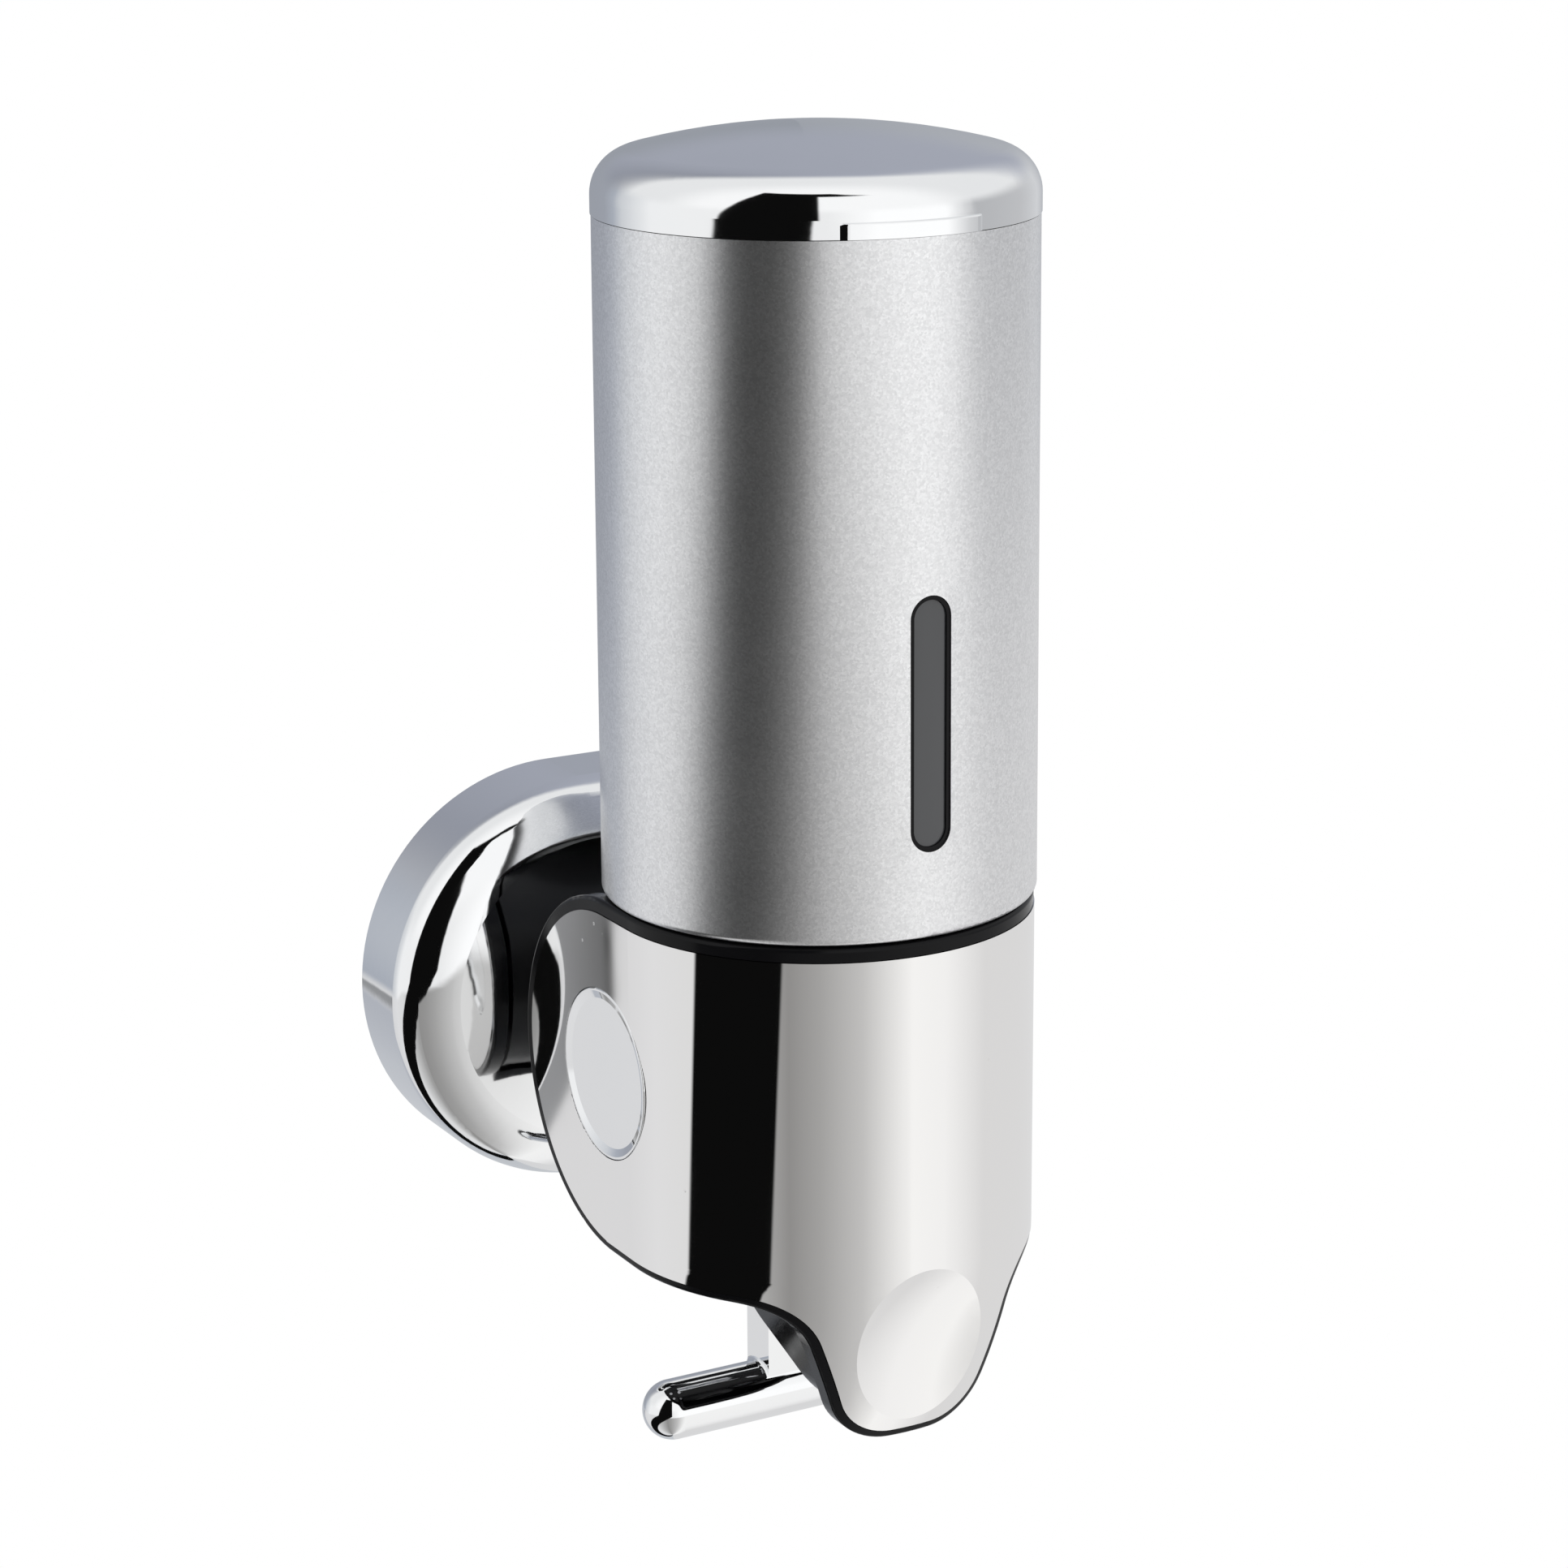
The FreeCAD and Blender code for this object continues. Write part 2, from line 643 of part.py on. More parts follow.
def chassis():
    deck_top = PIVOT_Z + CHASSIS_BACK_R
    floor = PIVOT_Z - CHASSIS_LOW_R
    solid = chassis_form(0, deck_top, floor)
    solid = solid.cut(chassis_form(CHASSIS_WALL, deck_top - DECK_T, floor - 1))
    inner = CHASSIS_R - CHASSIS_WALL
    mouth = u_prism(inner, MOUTH_BACK, floor - 1, floor + 6, CHASSIS_STEP)
    solid = solid.cut(mouth)
    # pads: pin bosses, bolt pad at the back, screw bosses at the base
    pads = [
        box(-BOLT_PAD, BOLT_PAD, BOLT_PAD_FRONT, FAR, ROSETTE_Z - BOLT_PAD, ROSETTE_Z + BOLT_PAD)
    ]
    for side in (-1, 1):
        start = vec(side * (PIN_IN + 0.5), PIVOT_Y, PIVOT_Z)
        pads.append(rod(BOSS_R, start, ACROSS * side, CHASSIS_R - PIN_IN - 1))
        for y in BASE_SCREW_Y:
            pads.append(rod(SCREW_BOSS_R, vec(side * BASE_SCREW_X, y, floor), UP, SCREW_BOSS_H))
            x0, x1 = sorted((side * BASE_SCREW_X, side * (inner + 1)))
            pads.append(box(x0, x1, y - 1, y + 1, floor, floor + SCREW_BOSS_H))
    for pad in pads:
        solid = solid.fuse(pad.common(chassis_form(0.3, deck_top, floor)))
    # holes
    solid = solid.cut(rod(NECK_R + NECK_CLEAR, vec(0, NECK_Y, -20), UP, FAR))
    solid = solid.cut(rod(BOLT_HOLE_R, vec(0, 20, ROSETTE_Z), BACK, 30))
    solid = solid.cut(box(-PUMP_WINDOW, PUMP_WINDOW, -FAR, -10, floor - 1, PUMP_Z + PUMP_WINDOW))
    for side in (-1, 1):
        solid = solid.cut(rod(PIN_R + PIN_PLAY, vec(side * 20, PIVOT_Y, PIVOT_Z), ACROSS * side, 20))
    for x, y in screw_places():
        if abs(x) != PUMP_SCREW_X:
            solid = solid.cut(rod(SCREW_HOLE_R, vec(x, y, floor - 1), UP, 11))
    return solid.removeSplitter()


def base_plate():
    top = PIVOT_Z - CHASSIS_LOW_R - FIT
    plate = u_prism(CHASSIS_R, BASE_PLATE_BACK, top - BASE_T, top, CHASSIS_STEP)
    plate = plate.cut(rod(SPOUT_HOLE_R, vec(0, NOZZLE_Y, top - 10), UP, 20))
    for x, y in screw_places():
        plate = plate.cut(rod(SCREW_CLEAR_R, vec(x, y, top - 10), UP, 20))
    return plate


def screw_places():
    places = []
    for side in (-1, 1):
        places += [(side * BASE_SCREW_X, y) for y in BASE_SCREW_Y]
        places += [(side * PUMP_SCREW_X, y) for y in PUMP_SCREW_Y]
        places.append((side * HOOK_SCREW_X, HOOK_Y))
    return places


def pan_screw(x, y, seat, length):
    """Screw driven upwards, its head hanging below seat."""
    head = rod(HEAD_SCREW_R, vec(x, y, seat - HEAD_SCREW_H), UP, HEAD_SCREW_H)
    shank = rod(SCREW_R, vec(x, y, seat - 1), UP, length + 1)
    low = seat - HEAD_SCREW_H - 0.1
    high = seat - HEAD_SCREW_H / 2
    half_w = CROSS_W / 2
    half_l = CROSS_L / 2
    cross = box(x - half_l, x + half_l, y - half_w, y + half_w, low, high)
    cross = cross.fuse(box(x - half_w, x + half_w, y - half_l, y + half_l, low, high))
    return head.fuse(shank).cut(cross).removeSplitter()


def base_screws():
    return Part.makeCompound([
        pan_screw(side * BASE_SCREW_X, y, BASE_UNDER, BASE_SCREW_L) for side in (-1, 1) for y in BASE_SCREW_Y
    ])


def pump_screws():
    return Part.makeCompound([
        pan_screw(side * PUMP_SCREW_X, y, BASE_UNDER, PUMP_SCREW_L) for side in (-1, 1) for y in PUMP_SCREW_Y
    ])


def hook_screws():
    return Part.makeCompound([
        pan_screw(side * HOOK_SCREW_X, HOOK_Y, BASE_UNDER - FLANGE_T, HOOK_SCREW_L) for side in (-1, 1)
    ])


# --- pump -----------------------------------------------------------------------------------

def pump_body():
    floor = PIVOT_Z - CHASSIS_LOW_R
    room = chassis_form(CHASSIS_WALL + 0.1, PUMP_TOP, floor - 1)
    room = room.fuse(box(-FAR, FAR, -FAR, MOUTH_BACK - 0.1, floor, PUMP_TOP))
    block = box(-PUMP_HALF, PUMP_HALF, PUMP_FRONT, PUMP_BACK, floor, PUMP_TOP).common(room)
    spout = rod(SPOUT_R, vec(0, NOZZLE_Y, SPOUT_END), UP, floor + 1 - SPOUT_END)
    socket = rod(NECK_R + SOCKET_WALL, vec(0, NECK_Y, PUMP_TOP - 1), UP, SOCKET_H + 1)
    body = fused([block, spout, socket])
    body = body.cut(rod(BORE_R, vec(0, PUMP_FRONT - 1, PUMP_Z), BACK, BORE_END - PUMP_FRONT + 1))
    body = body.cut(rod(NECK_R + NECK_CLEAR, vec(0, NECK_Y, PUMP_TOP), UP, 10))
    body = body.cut(rod(PORT_R, vec(0, NECK_Y, PUMP_Z), UP, 20))
    body = body.cut(rod(DUCT_R, vec(0, PUMP_FRONT - 1, DUCT_Z), BACK, DROP_Y + DUCT_R - PUMP_FRONT + 1))
    body = body.cut(rod(DUCT_R, vec(0, DROP_Y, DUCT_Z), UP, 8))
    body = body.cut(rod(SPOUT_BORE_R, vec(0, NOZZLE_Y, SPOUT_END - 1), UP, DUCT_Z - SPOUT_END + 1))
    for x, y in screw_places():
        if abs(x) == PUMP_SCREW_X:
            body = body.cut(rod(SCREW_HOLE_R, vec(x, y, floor - 1), UP, 8))
    return body.removeSplitter()


def duct_plug():
    end = NOZZLE_Y - SPOUT_BORE_R - 0.2
    return rod(DUCT_R - SNUG, vec(0, PUMP_FRONT, DUCT_Z), BACK, end - PUMP_FRONT)


def inlet_seal():
    height = NECK_END - PUMP_TOP - 2 * SNUG
    return tube(NECK_R - 0.2, INLET_SEAL_BORE_R, vec(0, NECK_Y, PUMP_TOP + SNUG), UP, height)


def inlet_ball():
    return Part.makeSphere(INLET_BALL_R, vec(0, NECK_Y, PUMP_TOP - 1.6))


def outlet_ball():
    return Part.makeSphere(OUTLET_BALL_R, vec(0, NOZZLE_Y, OUTLET_BALL_Z))


def nozzle():
    socket_r = SPOUT_R + SNUG
    return turned([
        (SPOUT_BORE_R, NOZZLE_END, 0),
        (NOZZLE_TIP_R, NOZZLE_END, 0.5),
        (NOZZLE_R, NOZZLE_SHOULDER, 0.5),
        (NOZZLE_R, NOZZLE_TOP, 0.4),
        (socket_r, NOZZLE_TOP, 0),
        (socket_r, SPOUT_END, 0),
        (SPOUT_BORE_R, SPOUT_END, 0),
    ], vec(0, NOZZLE_Y, 0))


def piston():
    crown = rod(BORE_R - PISTON_PLAY, vec(0, CROWN_FRONT, PUMP_Z), BACK, CROWN_BACK - CROWN_FRONT)
    stem = rod(ROD_R, vec(0, HEAD_FRONT, PUMP_Z), BACK, CROWN_FRONT - HEAD_FRONT + 1)
    head = rod(HEAD_R, vec(0, HEAD_FRONT, PUMP_Z), BACK, HEAD_T)
    start = (CROWN_FRONT + CROWN_BACK - RING_H) / 2
    groove = tube(BORE_R + 1, BORE_R - RING_DEPTH, vec(0, start, PUMP_Z), BACK, RING_H)
    return fused([crown, stem, head]).cut(groove)


def piston_seal():
    start = (CROWN_FRONT + CROWN_BACK - RING_H) / 2 + FIT
    return tube(BORE_R - FIT, BORE_R - RING_DEPTH + SNUG, vec(0, start, PUMP_Z), BACK, RING_H - 2 * FIT)


def return_spring():
    """Coil of half turns, tilted one way and then the other so that each runs smoothly into the next."""
    first = CROWN_BACK + SPRING_WIRE_R + FIT
    halves = 2 * SPRING_TURNS
    rise = (BORE_END - SPRING_WIRE_R - FIT - first) / halves
    coil = []
    for i in range(halves):
        side = 1 if i % 2 == 0 else -1
        start = vec(side * SPRING_R, first + i * rise, PUMP_Z)
        middle = vec(0, first + (i + 0.5) * rise, PUMP_Z)
        wire = Part.Face(Part.Wire([Part.Circle(start, UP, SPRING_WIRE_R).toShape()]))
        coil.append(wire.revolve(middle, vec(-side * rise / 2, -SPRING_R, 0), 180))
    return fused(coil)


# --- hook -----------------------------------------------------------------------------------

def towel_hook():
    top = BASE_UNDER
    straight = HOOK_LENGTH / 2 - HOOK_R
    bar = rod(HOOK_R, vec(-straight, HOOK_Y, HOOK_Z), ACROSS, 2 * straight)
    for side in (-1, 1):
        bar = bar.fuse(Part.makeSphere(HOOK_R, vec(side * straight, HOOK_Y, HOOK_Z)))
    post = box(-POST_X / 2, POST_X / 2, HOOK_Y - POST_Y / 2, HOOK_Y + POST_Y / 2, HOOK_Z, top - 1)
    hook = bar.fuse(post).removeSplitter()
    seams = [
        edge
        for edge in hook.Edges
        if edge.BoundBox.ZMin > HOOK_Z and edge.BoundBox.ZMax < HOOK_Z + HOOK_R + 1
        and edge.BoundBox.XLength <= POST_X + 0.1 and edge.BoundBox.XMax < POST_X
        and edge.BoundBox.XMin > -POST_X
    ]
    hook = hook.makeFillet(POST_ROUND, seams)
    flange = box(-FLANGE_X / 2, FLANGE_X / 2, HOOK_Y - POST_Y / 2, HOOK_Y + POST_Y / 2, top - FLANGE_T, top)
    uprights = [edge for edge in flange.Edges if edge.BoundBox.ZLength > 1]
    hook = hook.fuse(flange.makeFillet(FLANGE_ROUND, uprights))
    for side in (-1, 1):
        hook = hook.cut(rod(SCREW_CLEAR_R, vec(side * HOOK_SCREW_X, HOOK_Y, top - 5), UP, 10))
    return hook.removeSplitter()


# --- wall fixing ----------------------------------------------------------------------------

def wall_point(x, z, height):
    """A point seen from the middle of the rosette's back; height is its distance from the wall."""
    return vec(x, AXIS_TO_WALL - height, ROSETTE_Z + z)


def oblong(corners):
    """Solid with round ends and straight top and bottom, of (distance from the middle, height, rounding)."""
    ends = [turned(corners, wall_point(side * ROSETTE_HALF, 0, 0), OUT) for side in (-1, 1)]
    lower = [(-out, height, rounding) for out, height, rounding in reversed(corners) if out > 0]
    wire = outline(
        [corner for corner in corners if corner[0] > 0] + lower,
        lambda out, height: wall_point(-ROSETTE_HALF, out, height),
    )
    middle = Part.Face(wire).extrude(ACROSS * (2 * ROSETTE_HALF))
    return fused([middle] + ends)


def rosette_form(shrink, back):
    """The rosette's filled form, moved in by shrink, from height back up."""
    faces = [(math.radians(lean), reach - shrink) for lean, reach in ROSETTE_FACES]
    corners = [(0, back, 0), (ROSETTE_FACES[0][1] - shrink, back, 0)]
    for (a, p), (b, q), rounding in zip(faces, faces[1:], ROSETTE_ROUNDS):
        turn = math.sin(a - b)
        out = (p * math.cos(b) - q * math.cos(a)) / turn
        height = (q * math.sin(a) - p * math.sin(b)) / turn
        corners.append((out, height, rounding - shrink))
    corners.append((0, faces[-1][1], 0))
    return oblong(corners)


def wall_rosette():
    form = rosette_form(0, 0)
    form = form.fuse(rod(HUB_R, wall_point(0, 0, HUB_BACK), OUT, HUB_END - HUB_BACK)).removeSplitter()
    rims = [
        edge
        for edge in form.Edges
        if edge.BoundBox.YMax < AXIS_TO_WALL - HUB_END + 0.01 and edge.BoundBox.XLength > HUB_R
    ]
    form = form.makeFillet(HUB_ROUND, rims)
    boss = rod(HUB_R, wall_point(0, 0, HUB_BACK), OUT, HUB_END)
    form = form.cut(rosette_form(ROSETTE_WALL, -1).cut(boss))
    form = form.cut(rod(BOLT_HOLE_R, wall_point(0, 0, 0), OUT, FAR))
    return form.cut(rod(GRUB_R + SNUG, wall_point(0, 0, GRUB_FROM_WALL), UP * -1, FAR))


def wall_plate():
    plate = oblong([(0, 0, 0), (PLATE_R, 0, 0), (PLATE_R, PLATE_RIM_H, 0.5), (0, PLATE_RIM_H, 0)])
    tray_r = PLATE_R - PLATE_RIM_T
    plate = plate.cut(oblong([(0, PLATE_T, 0), (tray_r, PLATE_T, 1.0), (tray_r, FAR, 0), (0, FAR, 0)]))
    for side in (-1, 1):
        plate = plate.cut(rod(WALL_HOLE_R, wall_point(side * WALL_HOLE_SPACING / 2, 0, -1), OUT, 10))
    return plate


def rosette_grub_screw():
    start = wall_point(0, -PLATE_R - SNUG, GRUB_FROM_WALL)
    length = ROSETTE_FACES[0][1] - PLATE_R - 0.3
    screw = rod(GRUB_R, start, UP * -1, length)
    key = rod(KEY_R, start + vec(0, 0, -length - 0.5), UP, KEY_DEPTH + 0.5)
    return screw.cut(key)


def mount_arm():
    end = AXIS_TO_WALL - HUB_END
    arm = rod(ARM_R, vec(0, ARM_FRONT, ROSETTE_Z), BACK, end - ARM_FRONT)
    arm = arm.cut(ears(CHASSIS_BACK_R + SNUG, CHASSIS_LOW_R + SNUG))
    return arm.cut(rod(BOLT_HOLE_R, vec(0, 10, ROSETTE_Z), BACK, FAR * 2))


def hexagon(across, start, direction, length):
    """Hexagonal prism of the given width across flats, along Y."""
    corner_r = across / math.sqrt(3)
    points = [
        start + vec(corner_r * math.cos(math.pi / 3 * i), 0, corner_r * math.sin(math.pi / 3 * i))
        for i in range(7)
    ]
    return Part.Face(Part.makePolygon(points)).extrude(direction * length)


def arm_bolt():
    head_face = AXIS_TO_WALL - HUB_BACK
    axis_start = vec(0, head_face, ROSETTE_Z)
    head = hexagon(HEX_ACROSS, axis_start, BACK, HEX_HEAD_T)
    shank = rod(BOLT_R, axis_start + BACK, OUT, head_face + 1 - BOLT_END)
    return head.fuse(shank).removeSplitter()


def arm_nut():
    start = vec(0, NUT_FRONT, ROSETTE_Z)
    nut = hexagon(HEX_ACROSS, start, BACK, HEX_NUT_T)
    return nut.cut(rod(BOLT_R + SNUG, start - BACK, BACK, 10))


NODES = {
    "wall_plate": wall_plate,
    "wall_rosette": wall_rosette,
    "rosette_grub_screw": rosette_grub_screw,
    "mount_arm": mount_arm,
    "arm_bolt": arm_bolt,
    "arm_nut": arm_nut,
    "chassis": chassis,
    "base_plate": base_plate,
    "base_screws": base_screws,
    "bottle_sleeve": bottle_sleeve,
    "window_bezel": window_bezel,
    "window_lens": window_lens,
    "tank": tank,
    "tank_gasket": tank_gasket,
    "lock_nut": lock_nut,
    "lid_cap": lid_cap,
    "lid_insert": lid_insert,
    "lid_seal": lid_seal,
    "steel_cover": steel_cover,
    "lever_liner": lever_liner,
    "lever_pusher": lever_pusher,
    "pump_body": pump_body,
    "pump_screws": pump_screws,
    "duct_plug": duct_plug,
    "inlet_seal": inlet_seal,
    "inlet_ball": inlet_ball,
    "outlet_ball": outlet_ball,
    "nozzle": nozzle,
    "piston": piston,
    "piston_seal": piston_seal,
    "return_spring": return_spring,
    "towel_hook": towel_hook,
    "hook_screws": hook_screws,
}

os.makedirs("parts", exist_ok=True)
for node, make in NODES.items():
    save(node, make())
for word, side in (("left", -1), ("right", 1)):
    save(f"pivot_cap_{word}", pivot_cap(side))
    save(f"pivot_pin_{word}", pivot_pin(side))
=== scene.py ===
"""Looks of a wall mounted soap dispenser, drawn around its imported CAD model. Lengths are in metres."""

import math

import bpy
from mathutils import Matrix, Vector

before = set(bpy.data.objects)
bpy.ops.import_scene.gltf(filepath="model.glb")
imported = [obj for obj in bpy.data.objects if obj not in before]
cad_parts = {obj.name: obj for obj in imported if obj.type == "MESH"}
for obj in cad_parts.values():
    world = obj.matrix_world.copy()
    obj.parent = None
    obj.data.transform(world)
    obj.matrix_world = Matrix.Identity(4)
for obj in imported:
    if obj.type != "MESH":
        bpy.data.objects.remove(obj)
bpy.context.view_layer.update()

# ---------------------------------------------------------------- view

# The camera, where the object looks as it does in the photograph.
CAMERA_AT = Vector((-0.32080, -0.64186, 0.22785))
CAMERA_TURN = math.radians(-28.93)
CAMERA_PITCH = math.radians(15.423)
CAMERA_ROLL = math.radians(-0.4076)
CAMERA_LENS_MM = 93.15
SENSOR_MM = 36.0
CLIP_END = 200.0

TO_CAMERA = (math.sin(CAMERA_TURN), -math.cos(CAMERA_TURN), 0.0)
TO_RIGHT = (math.cos(CAMERA_TURN), math.sin(CAMERA_TURN), 0.0)

FLOOR_Z = -1.2
FLOOR_SIZE = 60.0
WHITE = (1.0, 1.0, 1.0, 1.0)


def place_camera():
    turn, pitch, roll = CAMERA_TURN, CAMERA_PITCH, CAMERA_ROLL
    level = math.cos(pitch)
    forward = Vector((-math.sin(turn) * level, math.cos(turn) * level, -math.sin(pitch)))
    right = Vector(TO_RIGHT)
    up = right.cross(forward)
    side = math.cos(roll) * right + math.sin(roll) * up
    top = -math.sin(roll) * right + math.cos(roll) * up
    data = bpy.data.cameras.new("photo_camera")
    data.sensor_width = SENSOR_MM
    data.lens = CAMERA_LENS_MM
    data.clip_end = CLIP_END
    camera = bpy.data.objects.new("photo_camera", data)
    bpy.context.scene.collection.objects.link(camera)
    matrix = Matrix((side, top, -forward)).transposed().to_4x4()
    matrix.translation = CAMERA_AT
    camera.matrix_world = matrix
    bpy.context.scene.camera = camera


# ---------------------------------------------------------------- node helpers


class Tree:
    """A node tree, with short calls for adding a node and joining it to others."""

    def __init__(self, tree):
        self.tree = tree
        tree.nodes.clear()

    def add(self, kind, values=None, **settings):
        node = self.tree.nodes.new(kind)
        for name, value in settings.items():
            setattr(node, name, value)
        for name, value in (values or {}).items():
            self.put(node.inputs[name], value)
        return node

    def put(self, socket, value):
        if isinstance(value, bpy.types.NodeSocket):
            self.tree.links.new(value, socket)
        else:
            socket.default_value = value

    def math(self, operation, *values):
        node = self.add("ShaderNodeMath", operation=operation)
        for socket, value in zip(node.inputs, values):
            self.put(socket, value)
        return node.outputs[0]

    def dot(self, vector, constant):
        node = self.add("ShaderNodeVectorMath", operation="DOT_PRODUCT")
        self.put(node.inputs[0], vector)
        node.inputs[1].default_value = constant
        return node.outputs["Value"]

    def product(self, *values):
        result = values[0]
        for value in values[1:]:
            result = self.math("MULTIPLY", result, value)
        return result

    def line(self, value, slope, offset):
        return self.math("MULTIPLY_ADD", value, slope, offset)

    def span(self, value, low, high, out_low=0.0, out_high=1.0, smooth=True):
        """value from low..high carried to out_low..out_high, and held at the ends."""
        kind = "SMOOTHSTEP" if smooth else "LINEAR"
        node = self.add("ShaderNodeMapRange", interpolation_type=kind)
        for name, x in (("Value", value), ("From Min", low), ("From Max", high),
                        ("To Min", out_low), ("To Max", out_high)):
            self.put(node.inputs[name], x)
        return node.outputs["Result"]

    def fall(self, value, low, high):
        """1 below low, 0 above high."""
        return self.span(value, low, high, 1.0, 0.0)

    def mix(self, factor, a, b):
        node = self.add("ShaderNodeMix", data_type="RGBA")
        self.put(node.inputs[0], factor)
        self.put(node.inputs[6], a)
        self.put(node.inputs[7], b)
        return node.outputs[2]

    def ramp(self, value, stops):
        """A ramp of grey or colour, stops being (place from 0 to 1, colour)."""
        node = self.add("ShaderNodeValToRGB", {"Fac": value})
        elements = node.color_ramp.elements
        while len(elements) > 1:
            elements.remove(elements[-1])
        for k, (place, colour) in enumerate(stops):
            element = elements[0] if k == 0 else elements.new(place)
            element.position = place
            element.color = (*colour, 1.0)
        return node.outputs["Color"]


# ---------------------------------------------------------------- studio

# All angles are in degrees. "angle" is taken from the camera's direction to its right, "rise" from level.
# Brightness of the room round the object by angle: well below eye level, where the sides of the lever
# look, and at eye level.
ROOM_LOW = (
    (-180, (0.60, 0.62, 0.65)),
    (-146, (0.55, 0.57, 0.61)),
    (-129, (0.47, 0.49, 0.54)),
    (-127.5, (0.74, 0.74, 0.75)),
    (-100, (0.80, 0.80, 0.81)),
    (-72, (0.78, 0.78, 0.78)),
    (-17, (0.30, 0.295, 0.29)),
    (0, (0.40, 0.395, 0.39)),
    (22, (0.58, 0.575, 0.57)),
    (50, (1.00, 0.995, 0.985)),
    (70, (0.97, 0.965, 0.96)),
    (98, (0.76, 0.755, 0.755)),
    (180, (0.74, 0.74, 0.745)),
)
ROOM_LEVEL = (
    (-180, (0.32, 0.34, 0.38)),
    (-135, (0.36, 0.38, 0.43)),
    (-125, (0.43, 0.46, 0.52)),
    (-116, (0.66, 0.68, 0.71)),
    (-92, (0.96, 0.965, 0.97)),
    (-40, (0.96, 0.96, 0.96)),
    (5, (0.94, 0.94, 0.94)),
    (30, (1.12, 1.12, 1.12)),
    (68, (1.12, 1.12, 1.12)),
    (88, (0.52, 0.525, 0.54)),
    (125, (0.57, 0.575, 0.59)),
    (150, (0.68, 0.69, 0.71)),
    (180, (0.36, 0.38, 0.42)),
)
DARK = (0.004, 0.004, 0.004, 1.0)
BEHIND_LEFT = (0.275, 0.29, 0.337, 1.0)
BEHIND_RIGHT = (0.41, 0.43, 0.50, 1.0)
ABOVE = (0.88, 0.885, 0.89, 1.0)
ABOVE_FRONT = (1.05, 1.05, 1.05, 1.0)
PANEL_DARK = (0.16, 0.162, 0.165, 1.0)
PANEL_LIGHT = (0.30, 0.305, 0.315, 1.0)

# Where the low room ends and the level one begins, in rise: on the left, and how much higher on the right.
LOW_ENDS = -16.0
LEVEL_BEGINS = -13.5
LOW_LIFT = 3.5
LEVEL_LIFT = 4.5
LIFT_FROM, LIFT_TO = -100.0, -70.0

# Where the level room gives way to what is above it, in rise.
ABOVE_FROM, ABOVE_TO = 6.0, 22.0

# The grey area behind the object: its edges as sideways over backward distance, and as toward the camera.
BEHIND_LEFT_EDGE = (-2.6, -0.7)
BEHIND_RIGHT_EDGE = (0.3, 1.4)
BEHIND_FRONT_EDGE = (-0.44, -0.16)
BEHIND_SHADE = (-1.6, 0.6)
ABOVE_SHADE = (0.0, 0.5)
LEAST_BACKWARD = 0.001

# The grey screen to the left: near edge, far edge, top edge, and a slanting bottom edge.
PANEL_NEAR = (-124.74, -124.64)
PANEL_FAR = (-129.0, -127.5)
PANEL_TOP = (-16.4, -15.6)
PANEL_BOTTOM = (1.76, 201.0)
PANEL_BOTTOM_SOFT = 0.10
PANEL_SHADE = (-125.7, -124.8)
PANEL_EDGE_LINE = (-124.84, -124.78)

# The dark gap: its edges are lines of angle over rise as (slope, offset), leaning below and upright above.
GAP_LEFT_LOW = (1.62, -41.0)
GAP_LEFT_HIGH = (0.2, -50.1)
GAP_RIGHT_LOW = (1.70, 10.5)
GAP_RIGHT_HIGH = 1.0
GAP_LEFT_SOFT = 1.2
GAP_RIGHT_SOFT = 1.0
GAP_TOP = (55.5, 58.5)
WEDGE_BOTTOM = (48.5, 50.5)
WEDGE_TOP = 57.0
WEDGE_SLOPE = -0.32
WEDGE_SLOPE_FROM = 10.0
WEDGE_SOFT = 1.2
WEDGE_RIGHT = (36.0, 40.0)


def panel_left(t, room, angle, rise):
    """The end of a grey screen, seen by the side of the lever alone. Its near edge is nearly black."""
    bottom = t.math("SUBTRACT", rise, t.line(angle, *PANEL_BOTTOM))
    across = t.product(t.fall(angle, *PANEL_NEAR), t.span(angle, *PANEL_FAR))
    upward = t.product(t.span(bottom, -PANEL_BOTTOM_SOFT, PANEL_BOTTOM_SOFT), t.fall(rise, *PANEL_TOP))
    grey = t.mix(t.fall(angle, *PANEL_SHADE), PANEL_DARK, PANEL_LIGHT)
    grey = t.mix(t.span(angle, *PANEL_EDGE_LINE), grey, DARK)
    return t.mix(t.product(across, upward), room, grey)


def gap_toward_camera(t, angle, rise):
    """1 inside the tall dark gap to the camera's left, which has a wedge to the right at its top."""
    left_edge = t.math("MINIMUM", t.line(rise, *GAP_LEFT_LOW), t.line(rise, *GAP_LEFT_HIGH))
    right_edge = t.math("MINIMUM", t.line(rise, *GAP_RIGHT_LOW), GAP_RIGHT_HIGH)
    past_left = t.span(t.math("SUBTRACT", angle, left_edge), -GAP_LEFT_SOFT, GAP_LEFT_SOFT)
    past_right = t.fall(t.math("SUBTRACT", angle, right_edge), -GAP_RIGHT_SOFT, GAP_RIGHT_SOFT)
    column = t.product(past_left, past_right, t.fall(rise, *GAP_TOP))
    sideways = t.math("MAXIMUM", t.math("SUBTRACT", angle, WEDGE_SLOPE_FROM), 0.0)
    over_slope = t.math("SUBTRACT", rise, t.line(sideways, WEDGE_SLOPE, WEDGE_TOP))
    upward = t.product(t.span(rise, *WEDGE_BOTTOM), t.fall(over_slope, -WEDGE_SOFT, WEDGE_SOFT))
    wedge = t.product(upward, t.product(past_left, t.fall(angle, *WEDGE_RIGHT)))
    return t.math("MAXIMUM", column, wedge)


